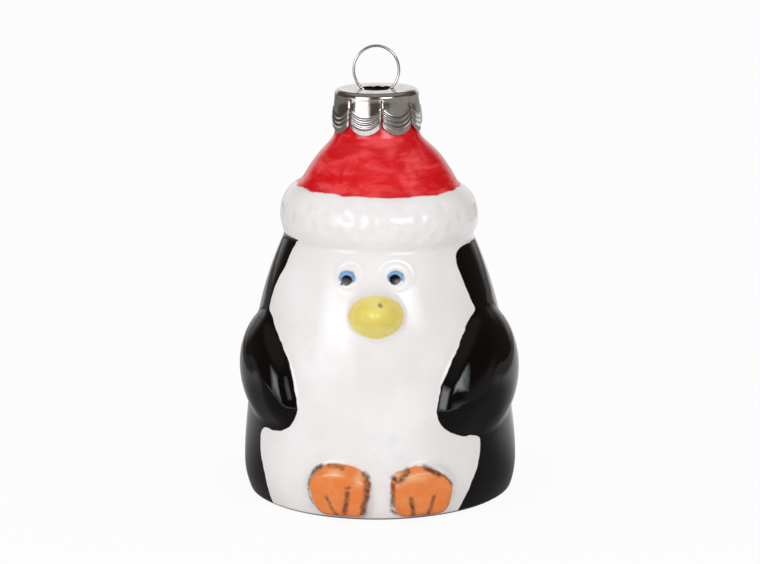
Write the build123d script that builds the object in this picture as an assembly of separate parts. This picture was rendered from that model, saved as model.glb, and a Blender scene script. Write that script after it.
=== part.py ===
from build123d import *

import math
import os

# Penguin tree ornament: a hollow glazed ceramic figure in a fur-brimmed hat, with a stamped
# crown cap on its neck and a sprung wire hanger through the cap.
# Millimetres, +Z up. The origin is the centre of the flat foot, and the figure looks along -Y.
# Left and right are the penguin's own. A turn is an angle about +Z in degrees, 0 at the front
# and positive towards +X, which is the penguin's left.

# Ceramic
WALL = 3.0  # cast wall of the torso and the hat
SLIP = 0.1  # film of slip between two pieces of clay that are luted together

# Torso, a bell that is widest just above its foot
TORSO_HEIGHT = 66.0  # from the foot to the rim that the hat is luted on
BELLY_RADIUS = 34.3
BELLY_HEIGHT = 7.0
FOOT_TUCK = 1.4  # how far the foot draws in from the belly
FOOT_EDGE = 0.8  # rounding of the edge that the figure stands on
HIP_RADIUS = 33.4
HIP_HEIGHT = 20.0
CHEST_RADIUS = 29.9
CHEST_HEIGHT = 46.0
RIM_RADIUS = 22.9
RIM_SLOPE = 0.45  # how fast the torso draws in at its rim

# Hat, from the torso's rim up to the plain neck that the cap fits over
HAT_FOOT_RADIUS = 21.6
HAT_BAND_RADIUS = 19.7
HAT_BAND_RISE = 11.0  # above the torso's rim, where the fur ends
HAT_CROWN_RADIUS = 16.8
HAT_CROWN_RISE = 16.2
HAT_SLOPE_RADIUS = 14.4
HAT_SLOPE_RISE = 19.3
HAT_NAPE_RADIUS = 11.4
HAT_NAPE_RISE = 22.4
NECK_RADIUS = 9.9
NECK_RISE = 26.6  # start of the plain neck
NECK_LENGTH = 7.8

# Fur brim, a roll of clay round the foot of the hat
BRIM_RADIUS = 18.5  # to the middle of the roll
BRIM_RISE = 3.5  # of that middle above the torso's rim
BRIM_BULGE = 6.2  # half the roll's thickness
BRIM_DEPTH = 8.0  # half the roll's height
BRIM_ROLL_ANGLE = 1.8  # it dips to the penguin's left, in degrees
BRIM_PITCH_ANGLE = 1.0  # and rises over the face

# Face and limbs. The figure is finished by hand, so its features don't share one centre line.
FACE_TURN = -3.6  # middle between the eyes
EYE_ANGLE = 12.9  # turn of each eye from there
EYE_TOP_GAP = 2.3  # from the torso's rim down to the top of the lids
EYE_BALL = 2.6  # radius of the eyeball
EYE_RISE = 0.9
EYE_CREASE = 0.15  # height of the crease between the ball and its lid
EYE_LID = 3.9  # radius of the raised lid round it
EYE_LID_RISE = 0.45
EYE_BLEND = 0.9  # from the top of the lid down to the face

BEAK_TURN = -1.4
BEAK_NEST = 1.0  # how far the beak reaches up between the lids
BEAK_WIDTH = 12.6
BEAK_THICKNESS = 10.4
BEAK_REACH = 6.4  # from the face to its blunt tip
BEAK_ROOT = 1.5  # how far it is sunk where the face curves away

# Flippers, oval balls sunk into the torso's sides. The left one is the larger.
FLIPPER_HEIGHT = 32.1  # of the middle
FLIPPER_LEAN_ANGLE = 43.0  # from upright, tip to the front
FLIPPER_HALF_DEPTH = 15.4  # half the ball's depth
RIGHT_FLIPPER_TURN = -65.8
RIGHT_FLIPPER_WIDTH = 30.6
RIGHT_FLIPPER_LENGTH = 39.0
RIGHT_FLIPPER_RISE = 4.4  # of the flipper above the torso
LEFT_FLIPPER_TURN = 59.0
LEFT_FLIPPER_WIDTH = 35.4
LEFT_FLIPPER_LENGTH = 41.8
LEFT_FLIPPER_RISE = 4.7

# Feet
FEET_TURN = -0.1  # middle between the feet
PAD_ANGLE = 17.3
PAD_WIDTH = 15.8  # of a foot, at its widest
PAD_TOE_WIDTH = 10.6
RIGHT_TOE_SHIFT = 1.8  # the toes lie this far towards the penguin's left
LEFT_TOE_SHIFT = 0.2
PAD_BOTTOM = 1.2
PAD_HEIGHT = 12.4
PAD_PROUD = 2.4
PAD_INSTEP = 7.0  # height of the widest place above the toes
PAD_TOE_CORNER = 2.2
PAD_CROWN = 2.0  # rounding of the pad's face
TOE_GAP = 3.0  # between the two grooves that part the toes, at the table
TOE_GROOVE_LENGTH = 8.0
TOE_GROOVE_RADIUS = 0.75
TOE_GROOVE_END = 0.25  # radius at its upper end
TOE_GROOVE_ANGLE = 11.0  # the grooves draw together towards the table

# Crown cap, stamped from tinplate
SHEET = 0.35
CAP_SEAT = 0.05  # between the cap and the top of the neck
CAP_FIT = 0.15  # between the cap's shoulder and the neck
CAP_SHOULDER = 1.2  # rounding between the top and the skirt
CAP_HOLE = 4.1
CAP_DEPTH = 10.2  # from its top to the tips of the tabs
CAP_FLARE = 0.6  # how far the tabs spread from the shoulder
CAP_FLARE_DEPTH = 8.0
CAP_TIP_TUCK = 0.13  # and draw in again at their tips
TAB_COUNT = 8
TAB_TURN = 29.0  # of the first tab's middle
SLIT_WIDTH = 0.45
SLIT_TOP = 1.8  # below the top of the cap
SCALLOP_DEPTH = 2.3  # from a tab's tip up to its corners
RIB_COUNT = 3
RIB_FIRST = 1.7  # from the tab's edge to its first rib
RIB_PITCH = 1.1
RIB_WIDTH = 0.5
RIB_RISE = 0.18

# Sprung wire hanger: an oval loop whose two legs spread inside the neck
WIRE = 0.65
LOOP_HALF_WIDTH = 5.56  # to the middle of the wire
LOOP_HALF_HEIGHT = 5.95
LOOP_CLEARANCE = 0.35  # between the wire and the edge of the cap's hole
LEG_BEND_RADIUS = 1.6  # radius at which the loop turns into a leg
LEG_SPLAY_ANGLE = 14.5
LEG_LENGTH = 17.0

NECK_TOP = TORSO_HEIGHT + NECK_RISE + NECK_LENGTH
CAP_TOP = NECK_TOP + CAP_SEAT + SHEET
CAP_RADIUS = NECK_RADIUS + CAP_FIT + SHEET
EYE_RADIUS = EYE_LID + EYE_BLEND
EYE_HEIGHT = TORSO_HEIGHT - EYE_TOP_GAP - EYE_RADIUS
BEAK_HEIGHT = EYE_HEIGHT - EYE_RADIUS + BEAK_NEST - BEAK_THICKNESS / 2


def turned(*edges):
    """A solid of revolution about Z, from a closed outline of radius and height."""
    return revolve(Plane.XZ * make_face(list(edges)), Axis.Z)


def beside(outer, distance, count=9):
    """The curve at a distance outside an upward curve, or inside it where that is negative."""
    points = []
    for i in range(count):
        share = i / (count - 1)
        along = outer % share
        points.append(outer @ share + Vector(along.Y, -along.X) * distance)
    return Spline(*points)


def share_at(outer, height):
    """How far along an upward curve a height lies, from 0 to 1."""
    low, high = 0.0, 1.0
    for _ in range(40):
        middle = (low + high) / 2
        if (outer @ middle).Y < height:
            low = middle
        else:
            high = middle
    return low


# Outer lines of the torso and the hat, as radius and height
foot_radius = BELLY_RADIUS - FOOT_TUCK
foot_line = TangentArc((BELLY_RADIUS, BELLY_HEIGHT), (foot_radius, 0), tangent=(0, -1))
side_line = Spline(
    (BELLY_RADIUS, BELLY_HEIGHT),
    (HIP_RADIUS, HIP_HEIGHT),
    (CHEST_RADIUS, CHEST_HEIGHT),
    (RIM_RADIUS, TORSO_HEIGHT),
    tangents=[(0, 1), (-RIM_SLOPE, 1)],
)
hat_line = Spline(
    (HAT_FOOT_RADIUS, TORSO_HEIGHT + SLIP),
    (HAT_BAND_RADIUS, TORSO_HEIGHT + HAT_BAND_RISE),
    (HAT_CROWN_RADIUS, TORSO_HEIGHT + HAT_CROWN_RISE),
    (HAT_SLOPE_RADIUS, TORSO_HEIGHT + HAT_SLOPE_RISE),
    (HAT_NAPE_RADIUS, TORSO_HEIGHT + HAT_NAPE_RISE),
    (NECK_RADIUS, TORSO_HEIGHT + NECK_RISE),
    tangents=[(0, 1), (0, 1)],
)


def torso_block(grow=0.0):
    """The torso without its hollow, with its side moved out."""
    return turned(
        Pos(X=grow) * foot_line,
        Pos(X=grow) * side_line,
        Polyline((RIM_RADIUS + grow, TORSO_HEIGHT), (0, TORSO_HEIGHT), (0, 0), (foot_radius + grow, 0)),
    )


def seat(height, turn):
    """A plane on the torso's surface: X sideways, Y up the surface, Z outwards."""
    share = share_at(side_line, height)
    place, along = side_line @ share, side_line % share
    angle = math.radians(turn)
    out = Vector(math.sin(angle), -math.cos(angle), 0)
    return Plane(
        origin=out * place.X + Vector(0, 0, place.Y),
        x_dir=(math.cos(angle), math.sin(angle), 0),
        z_dir=out * along.Y - Vector(0, 0, along.X),
    )


# The hollow inside the casting, which opens through the neck
torso_inside = beside(side_line, -WALL)
hat_inside = beside(hat_line, -WALL)
floor_bend = BELLY_HEIGHT - WALL
floor_radius = BELLY_RADIUS - WALL - floor_bend
bore = NECK_RADIUS - WALL
hollow = turned(
    TangentArc((BELLY_RADIUS - WALL, BELLY_HEIGHT), (floor_radius, WALL), tangent=(0, -1)),
    torso_inside,
    Line(torso_inside @ 1, hat_inside @ 0),
    hat_inside,
    Polyline(
        hat_inside @ 1,
        (bore, NECK_TOP + WALL),
        (0, NECK_TOP + WALL),
        (0, WALL),
        (floor_radius, WALL),
    ),
)

# Torso
body_casting = torso_block()
body_casting = fillet(body_casting.edges().group_by(Axis.Z)[0], FOOT_EDGE)
body_casting -= hollow

# Hat
neck_edge = NECK_TOP - CAP_SHOULDER
mouth_radius = NECK_RADIUS - CAP_SHOULDER
hat_block = turned(
    hat_line,
    Line((NECK_RADIUS, TORSO_HEIGHT + NECK_RISE), (NECK_RADIUS, neck_edge)),
    TangentArc((NECK_RADIUS, neck_edge), (mouth_radius, NECK_TOP), tangent=(0, 1)),
    Polyline(
        (mouth_radius, NECK_TOP),
        (0, NECK_TOP),
        (0, TORSO_HEIGHT + SLIP),
        (HAT_FOOT_RADIUS, TORSO_HEIGHT + SLIP),
    ),
)
hat_casting = hat_block - hollow

# Fur brim, cut to sit on the torso's rim and round the hat
core = turned(
    Pos(X=SLIP) * foot_line,
    Pos(X=SLIP) * side_line,
    Polyline(
        (RIM_RADIUS + SLIP, TORSO_HEIGHT),
        (RIM_RADIUS + SLIP, TORSO_HEIGHT + SLIP),
        (HAT_FOOT_RADIUS + SLIP, TORSO_HEIGHT + SLIP),
    ),
    Pos(X=SLIP) * hat_line,
    Polyline(
        (NECK_RADIUS + SLIP, TORSO_HEIGHT + NECK_RISE),
        (0, TORSO_HEIGHT + NECK_RISE),
        (0, 0),
        (foot_radius + SLIP, 0),
    ),
)
roll = turned(
    EllipticalCenterArc((BRIM_RADIUS, 0), BRIM_BULGE, BRIM_DEPTH, -90, arc_size=180),
    Line((BRIM_RADIUS, BRIM_DEPTH), (BRIM_RADIUS, -BRIM_DEPTH)),
)
seam_behind = Rot(Z=90)
tilted = Pos(Z=TORSO_HEIGHT + BRIM_RISE) * Rot(-BRIM_PITCH_ANGLE, BRIM_ROLL_ANGLE, 0)
hat_brim = tilted * seam_behind * roll - core


def luted(piece):
    """A piece of clay cut to sit on the torso's surface."""
    return piece - core


# Eyes: a low ball inside a raised lid
eye_root = -EYE_LID_RISE - EYE_BLEND
eye_line = Spline(
    (0, EYE_RISE),
    (EYE_BALL, EYE_CREASE),
    (EYE_LID, EYE_LID_RISE),
    (EYE_RADIUS, -EYE_LID_RISE),
    tangents=[(1, 0), (EYE_LID_RISE, -EYE_BLEND)],
)
eye = turned(
    eye_line,
    Polyline((EYE_RADIUS, -EYE_LID_RISE), (EYE_RADIUS, eye_root), (0, eye_root), (0, EYE_RISE)),
)
right_eye = luted(seat(EYE_HEIGHT, FACE_TURN - EYE_ANGLE) * eye)
left_eye = luted(seat(EYE_HEIGHT, FACE_TURN + EYE_ANGLE) * eye)

# Beak: a blunt cone with a parabola for its side, flattened to an oval
beak_foot = BEAK_WIDTH / 2 * math.sqrt(1 + BEAK_ROOT / BEAK_REACH)
beak_cone = turned(
    Bezier((0, BEAK_REACH), (beak_foot / 2, BEAK_REACH), (beak_foot, -BEAK_ROOT)),
    Polyline((beak_foot, -BEAK_ROOT), (0, -BEAK_ROOT), (0, BEAK_REACH)),
)
beak_oval = scale(beak_cone, by=(1, BEAK_THICKNESS / BEAK_WIDTH, 1))
beak = luted(seat(BEAK_HEIGHT, BEAK_TURN) * beak_oval)


def oval_ball(width, height, half_depth):
    return scale(Sphere(1), by=(width / 2, height / 2, half_depth))


def flipper(turn, lean, width, length, rise):
    """An oval ball sunk into the torso's side, leaning from upright."""
    ball = Rot(Z=lean) * oval_ball(width, length, FLIPPER_HALF_DEPTH)
    return luted(seat(FLIPPER_HEIGHT, turn) * (Pos(Z=rise - FLIPPER_HALF_DEPTH) * ball))


right_flipper = flipper(
    RIGHT_FLIPPER_TURN,
    FLIPPER_LEAN_ANGLE,
    RIGHT_FLIPPER_WIDTH,
    RIGHT_FLIPPER_LENGTH,
    RIGHT_FLIPPER_RISE,
)
left_flipper = flipper(
    LEFT_FLIPPER_TURN,
    -FLIPPER_LEAN_ANGLE,
    LEFT_FLIPPER_WIDTH,
    LEFT_FLIPPER_LENGTH,
    LEFT_FLIPPER_RISE,
)


def foot_pad(turn, toes):
    """A rounded pad on the belly, with two grooves that part its toes."""
    low = PAD_BOTTOM - BELLY_HEIGHT
    widest = low + PAD_INSTEP
    toe_right, toe_left = toes - PAD_TOE_WIDTH / 2, toes + PAD_TOE_WIDTH / 2
    outline = make_face(
        [
            Line((toe_right, low), (toe_left, low)),
            TangentArc((PAD_WIDTH / 2, widest), (toe_left, low), tangent=(0, -1)),
            EllipticalCenterArc((0, widest), PAD_WIDTH / 2, PAD_HEIGHT - PAD_INSTEP, 0, arc_size=180),
            TangentArc((-PAD_WIDTH / 2, widest), (toe_right, low), tangent=(0, -1)),
        ]
    )
    outline = fillet(outline.vertices().group_by(Axis.Y)[0], PAD_TOE_CORNER)
    place = seat(BELLY_HEIGHT, turn)
    pad = place * extrude(outline, amount=2 * PAD_PROUD, both=True) & torso_block(PAD_PROUD)
    face = pad.faces().sort_by(Axis(place.origin, place.z_dir))[-1]
    pad = fillet(face.edges(), PAD_CROWN)
    groove = Cone(TOE_GROOVE_RADIUS, TOE_GROOVE_END, TOE_GROOVE_LENGTH)
    for side in (-1, 1):
        lean = Rot(Y=side * TOE_GROOVE_ANGLE) * Pos(Z=TOE_GROOVE_LENGTH / 2) * groove
        along = Pos(toes + side * TOE_GAP / 2, low, PAD_PROUD) * Rot(X=-90) * lean
        pad -= place * along
    return luted(pad)


right_foot = foot_pad(FEET_TURN - PAD_ANGLE, RIGHT_TOE_SHIFT)
left_foot = foot_pad(FEET_TURN + PAD_ANGLE, LEFT_TOE_SHIFT)

# Crown cap: a dished top, a skirt slit into scalloped tabs, and ribs that follow the scallops
tip = CAP_TOP - CAP_DEPTH
tip_radius = CAP_RADIUS + CAP_FLARE - CAP_TIP_TUCK
skirt_top = CAP_TOP - CAP_SHOULDER
skirt_line = Spline(
    (tip_radius, tip),
    (CAP_RADIUS + CAP_FLARE, CAP_TOP - CAP_FLARE_DEPTH),
    (CAP_RADIUS, skirt_top),
    tangents=[(CAP_TIP_TUCK, CAP_DEPTH - CAP_FLARE_DEPTH), (0, 1)],
)
skirt_inside = beside(skirt_line, -SHEET)
one_tab = 360 / TAB_COUNT


def tab_sector(*edges):
    """One tab's share of a ring about Z, in the middle of the front."""
    ring = revolve(Plane.XZ * make_face(list(edges)), Axis.Z, revolution_arc=one_tab)
    return Rot(Z=-90 - one_tab / 2) * ring


top_radius = CAP_RADIUS - CAP_SHOULDER
cap_under = CAP_TOP - SHEET
sector = tab_sector(
    skirt_line,
    TangentArc((CAP_RADIUS, skirt_top), (top_radius, CAP_TOP), tangent=(0, 1)),
    Polyline((top_radius, CAP_TOP), (CAP_HOLE, CAP_TOP), (CAP_HOLE, cap_under), (top_radius, cap_under)),
    TangentArc((CAP_RADIUS - SHEET, skirt_top), (top_radius, cap_under), tangent=(0, 1)),
    skirt_inside,
    Line(skirt_inside @ 0, skirt_line @ 0),
)
rib_inner = beside(skirt_line, -SHEET / 2)
rib_outer = beside(skirt_line, RIB_RISE)
rib_layer = tab_sector(
    rib_inner,
    rib_outer,
    Line(rib_inner @ 0, rib_outer @ 0),
    Line(rib_inner @ 1, rib_outer @ 1),
)
half_tab = (CAP_RADIUS + CAP_FLARE) * math.sin(math.pi / TAB_COUNT)
reach = 2 * CAP_RADIUS


def scallop(rise):
    """The curve of a tab's edge, moved up."""
    corner = tip + SCALLOP_DEPTH + rise
    return ThreePointArc((-half_tab, corner), (0, tip + rise), (half_tab, corner))


def in_front(*edges):
    """A block with this outline, as seen from the front, in front of the cap's axis."""
    return extrude(Plane.XZ * make_face(list(edges)), amount=reach)


below = tip - SCALLOP_DEPTH
edge_cut = in_front(
    scallop(0),
    Polyline(scallop(0) @ 0, (-half_tab, below), (half_tab, below), scallop(0) @ 1),
)
for i in range(RIB_COUNT):
    lower = scallop(RIB_FIRST + i * RIB_PITCH)
    upper = scallop(RIB_FIRST + i * RIB_PITCH + RIB_WIDTH)
    band = in_front(lower, upper, Line(lower @ 0, upper @ 0), Line(lower @ 1, upper @ 1))
    sector += rib_layer & band
sector -= edge_cut
slit_top = CAP_TOP - SLIT_TOP
slit_cut = in_front(
    Polyline(
        (-SLIT_WIDTH / 2, slit_top),
        (SLIT_WIDTH / 2, slit_top),
        (SLIT_WIDTH / 2, below),
        (-SLIT_WIDTH / 2, below),
        close=True,
    )
)
for side in (-1, 1):
    sector -= Rot(Z=side * one_tab / 2) * slit_cut
first, *others = [Rot(Z=TAB_TURN + i * one_tab) * sector for i in range(TAB_COUNT)]
crown_cap = first.fuse(*others).clean()

# Wire hanger
plate = CAP_TOP - SHEET / 2
pinch = CAP_HOLE - WIRE / 2 - LOOP_CLEARANCE
dip = math.degrees(math.acos(pinch / LOOP_HALF_WIDTH))
loop_middle = plate + LOOP_HALF_HEIGHT * math.sin(math.radians(dip))
loop = EllipticalCenterArc(
    (0, loop_middle), LOOP_HALF_WIDTH, LOOP_HALF_HEIGHT, -dip, arc_size=180 + 2 * dip
)
heading = Vector(0, 0) - loop % 0
swing = LEG_SPLAY_ANGLE - 90 - math.degrees(math.atan2(heading.Y, heading.X))
bend = JernArc(loop @ 0, heading, LEG_BEND_RADIUS, swing)
leg = Line(bend @ 1, bend @ 1 + (bend % 1) * LEG_LENGTH)
path = Plane.XZ * Wire([leg, bend, loop, bend.mirror(Plane.YZ), leg.mirror(Plane.YZ)])
wire_hanger = sweep(Plane(origin=path @ 0, z_dir=path % 0) * Circle(WIRE / 2), path=path)

os.makedirs("parts", exist_ok=True)
for name, shape in (
    ("body_casting", body_casting),
    ("hat_casting", hat_casting),
    ("hat_brim", hat_brim),
    ("right_flipper", right_flipper),
    ("left_flipper", left_flipper),
    ("right_foot", right_foot),
    ("left_foot", left_foot),
    ("beak", beak),
    ("right_eye", right_eye),
    ("left_eye", left_eye),
    ("crown_cap", crown_cap),
    ("wire_hanger", wire_hanger),
):
    export_step(shape, f"parts/{name}.step")
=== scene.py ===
import math

import bpy
import numpy as np
from mathutils import Matrix, Vector, noise
from mathutils.bvhtree import BVHTree


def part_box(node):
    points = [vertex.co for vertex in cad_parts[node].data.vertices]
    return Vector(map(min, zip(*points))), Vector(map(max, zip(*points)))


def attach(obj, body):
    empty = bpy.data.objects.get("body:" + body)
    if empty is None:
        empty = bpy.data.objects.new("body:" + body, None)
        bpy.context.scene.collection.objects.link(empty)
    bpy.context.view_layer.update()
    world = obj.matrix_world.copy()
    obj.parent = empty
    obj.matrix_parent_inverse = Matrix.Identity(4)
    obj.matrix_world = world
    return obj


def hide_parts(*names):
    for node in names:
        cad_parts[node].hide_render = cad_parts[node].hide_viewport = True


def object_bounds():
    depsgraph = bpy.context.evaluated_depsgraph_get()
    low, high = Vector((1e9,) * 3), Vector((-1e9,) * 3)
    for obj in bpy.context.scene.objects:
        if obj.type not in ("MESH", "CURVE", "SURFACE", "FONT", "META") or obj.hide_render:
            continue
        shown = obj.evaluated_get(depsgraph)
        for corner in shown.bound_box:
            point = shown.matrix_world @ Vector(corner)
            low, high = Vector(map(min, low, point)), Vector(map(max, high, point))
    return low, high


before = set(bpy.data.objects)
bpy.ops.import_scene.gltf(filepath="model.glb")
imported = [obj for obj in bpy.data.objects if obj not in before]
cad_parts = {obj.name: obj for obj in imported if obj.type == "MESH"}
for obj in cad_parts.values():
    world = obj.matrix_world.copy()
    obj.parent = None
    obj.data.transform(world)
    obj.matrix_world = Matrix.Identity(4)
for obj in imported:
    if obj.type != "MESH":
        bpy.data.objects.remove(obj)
cad_low, cad_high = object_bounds()

# A place on the figure is a turn about its upright axis, in degrees, and a height in millimetres.
# A turn of 0 is the front, and turns are positive towards the penguin's left. Sizes are in
# millimetres and colours are linear.
MM = 0.001
CERAMIC = (
    "body_casting",
    "hat_casting",
    "hat_brim",
    "right_flipper",
    "left_flipper",
    "right_foot",
    "left_foot",
    "beak",
    "right_eye",
    "left_eye",
)

# The glazed skin is a grid of turns and heights, finest over the face and the feet
TURN_STRETCHES = ((-180, -100, 2.8), (-100, -36, 0.75), (-36, 36, 0.45), (36, 100, 0.75), (100, 180, 2.8))
HEIGHT_STRETCHES = ((0.02, 14, 0.32), (14, 45, 0.66), (45, 64, 0.3), (64, 80, 0.42), (80, 92, 0.6))
NECK_SPACING = 1.6
HOLLOW_ROWS = 16
HOLLOW_TOP, HOLLOW_FLOOR = 0.5, 3.2  # the hollow ends this far below the neck's top and above the foot
LIP_IN, LIP_DOWN = 0.4, 0.3  # the rounding of the neck's lip, as shares of the cap's shoulder
LIP_WALL = 0.3  # the lip's flat top ends this far outside the hollow
FOOT_RINGS = (0.2, 0.55, 0.85, 0.97)  # shares of the foot's radius
GIRTH = 30.0  # radius at which a reach along the surface is turned into degrees

# Glaze softens the clay
CREASE_FILL = 0.6  # how far the glaze runs out of a crease
GROOVE_FILL = 0.4  # and out of a groove between the toes
FLIPPER_FRONTS = (  # lift, then the share and width of the front's steep and flat curves
    ("right_flipper", 1.2, ((0.45, 3.0), (0.55, 7.5))),
    ("left_flipper", 0.4, ((0.35, 2.2), (0.65, 11.0))),
)
FLIPPER_FULLNESS = (0.6, 0.4)  # below 1, the front stays full towards the flipper's lower and upper ends
FLIPPER_EDGE_IN = 0.15  # the rounding starts this far inside the painted edge
FLIPPER_BLEND = 13.0  # degrees over which the rounded front runs into the back
CREST_LEAST = 0.3  # beyond where the clay is this thick, the crest's line goes straight up or down
CREST_EVEN = (2.0, 1.2)  # the crest's line and its height are evened out over these reaches
HAT_SHIFT = 0.35  # the hat sits this far to the penguin's left
HAT_SHIFT_FROM, HAT_SHIFT_TO = (63.5, 67.0), (90.0, 84.0)  # heights over which that begins and ends
HAT_TOUCHES = ((90.6, 1.5, 0.3), (87.4, 1.5, -0.12))  # height, reach and amount of what the hand changed
EDGE_SOFTNESS = 0.28
FILL_HIGH = 79.0  # creases are filled up to this height
FEET_HIGH, FEET_ROUND = (15.0, 12.0), (50.0, 40.0)  # heights and turns over which the feet end
SHARP_FOOT = (0.3, 1.2)  # heights over which the foot's own edge gives way to the softened side
CREASE_SHADE_REACH = 1.6  # hollows are measured against the surface evened over this reach
UNEVEN = ((22.0, 0.16), (8.0, 0.05))  # wavelength and height of the waves left by the mould and the hand
# The waves come in over these distances, above the floor and below the neck's top
CALM_FOOT, CALM_NECK = (0.5, 6.0), (9.0, 13.0)

# Round dents pressed into the fur, as turns and heights in front and as even rows round the back
FRONT_DENTS = (
    (-60.5, 71.4), (-47.4, 73.7), (-42.3, 70.1), (-33.1, 74), (-31.2, 69.2), (-25.7, 75.3), (-22.6, 68.6),
    (-17.5, 72.9), (-12.5, 75.6), (-12.5, 68.8), (-9.8, 72.4), (-3.6, 68.9), (-0.8, 75.6), (1.9, 72.3),
    (7.2, 69.6), (13.2, 68.4), (15.2, 74.5), (23.6, 67.5), (25.3, 72.3), (30.4, 70), (34.5, 67.6),
    (42.3, 74.1), (46, 69), (54.4, 71.5),
)
BACK_DENT_ROWS = (67.2, 70.8, 74.3)
BACK_DENTS_FROM = 64.0
DENT_PITCH = 4.2
DENT_RADIUS = 2.1
DENT_DEPTH = 0.28
BACK_DENT_DEPTH = 0.16
DENT_WANDER = (2.5, 0.8)  # how far a dent at the back strays from its row, in degrees and millimetres
DENT_WANDER_SCALE = 3.7
DENT_SEED = 1

# The plain back of the torso is evened out over this many degrees and millimetres
BACK_EVEN = (5.0, 1.5)
BACK_TURNS, BACK_TOP, BACK_FOOT = (100.0, 112.0), (61.0, 56.0), (3.0, 8.0)  # where that comes in

# Painted outlines, as turns and heights along them
COAT_RIGHT = (
    (-55.6, 67), (-58.4, 64.9), (-60.9, 61.8), (-61.6, 58.9), (-64.9, 55.7), (-66.6, 52.6), (-66.8, 49.8),
    (-66.1, 48.2), (-60.9, 46.6), (-56.9, 44.7), (-51.7, 42.3), (-47.2, 39.8), (-43.8, 37.2), (-41.4, 34.5),
    (-39.7, 31.7), (-38.2, 28.9), (-37.5, 27), (-37.3, 25.9), (-37.8, 24.7), (-39.4, 23), (-41.7, 21.4),
    (-45.6, 20.1), (-51.3, 19.5), (-57, 19.5), (-60.2, 18.5), (-61, 16.8), (-60.1, 12.8), (-58.1, 10.1),
    (-55.9, 7.4), (-54.7, 4.4), (-53.7, 1.3), (-53, -1), (-52.6, -3), (-52.6, -6), (-195, -6), (-195, 70),
)
COAT_LEFT = (
    (75, 66), (67.7, 64.2), (55.2, 63.2), (50.4, 62.1), (49, 61), (48.5, 59.4), (49.5, 56.5), (50.9, 53.5),
    (52.4, 50.5), (53.4, 48.8), (50.4, 47.8), (46.8, 46.7), (42.4, 44.2), (38.5, 41.6), (34.9, 39),
    (31.7, 36.4), (28.4, 33.7), (26.3, 31), (25, 28.1), (24.4, 26.8), (24.5, 25.4), (25.2, 24), (27.1, 22.4),
    (31, 20.6), (36.3, 19.3), (41.7, 18.9), (45.8, 18), (46.7, 16.9), (45.9, 14.2), (44.3, 11.4), (41.8, 8.7),
    (39, 6), (36.5, 3.2), (35, 1), (34.4, -1), (34.4, -3), (34.4, -6), (195, -6), (195, 70),
)
COAT_TOP, COAT_TOP_DIP = 64.6, 1.15  # the black coat ends at the fur, which dips to the left
HAT_EDGE, HAT_EDGE_DIP = 77.2, 0.45
FOOT_RIGHT = (
    (-26.3, 12.5), (-24.1, 13.4), (-21.5, 14.1), (-18.6, 14.3), (-14.4, 14.2), (-11.6, 13.9), (-9.1, 13.3),
    (-6.7, 12.4), (-5.1, 11.1), (-4.1, 9.7), (-4.3, 8.1), (-4.9, 6.3), (-5.8, 4.4), (-6.8, 2.8), (-8.5, 1.5),
    (-12, 1.4), (-16.2, 1.2), (-18.3, 1.5), (-21.4, 1.3), (-23.8, 1.8), (-25.1, 3), (-26.5, 5), (-27.7, 7.3),
    (-28.3, 8.8), (-28, 10.3),
)
FOOT_LEFT = (
    (5.1, 11.8), (7.5, 12.7), (10.8, 13.2), (13.6, 13.7), (16.5, 13.7), (19, 13.3), (22, 12.6), (25, 11.2),
    (27.1, 9.8), (28.4, 8.4), (28.5, 7.1), (27.9, 5.1), (26.9, 3.5), (25.9, 2), (24.2, 1), (20.8, 0.6),
    (16.8, 0.7), (12.6, 0.7), (8.4, 1.1), (6.7, 1.7), (5.6, 3.3), (4.6, 5.2), (4, 7), (3.9, 9.1), (4.3, 10.6),
)
CURVE_STEPS = 4  # an outline is a smooth curve through its points, with this many steps between two
CLAY_EASE = 0.55

# Ovals painted for the eyes, as turn, height, half-width and half-height
IRISES = ((-17.0, 58.5, 2.1, 1.7), (9.2, 58.65, 2.0, 1.6))
PUPILS = ((-17.0, 57.95, 1.42, 1.25), (-19.3, 57.1, 0.5, 0.4), (8.7, 58.2, 1.4, 1.2))
IRIS_LOW = -0.8  # the iris is washed out below this, measured from its middle
# Shallow rings pressed round the eyes: turn, height, half-width, half-height, ridge width and rise
EYE_RINGS = (
    (-15.8, 58.9, 3.5, 3.5, 0.38, 0.08), (9.1, 59.3, 4.6, 3.5, 0.42, 0.12), (9.6, 59.1, 2.9, 2.5, 0.36, 0.08),
)
# The balls of the eyes and the tip of the beak: turn, height, reach and rise
SOFT_BUMPS = ((-17.0, 58.2, 1.7, 0.14), (9.0, 58.4, 1.7, 0.14), (-0.9, 50.4, 1.9, 0.22))

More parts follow.
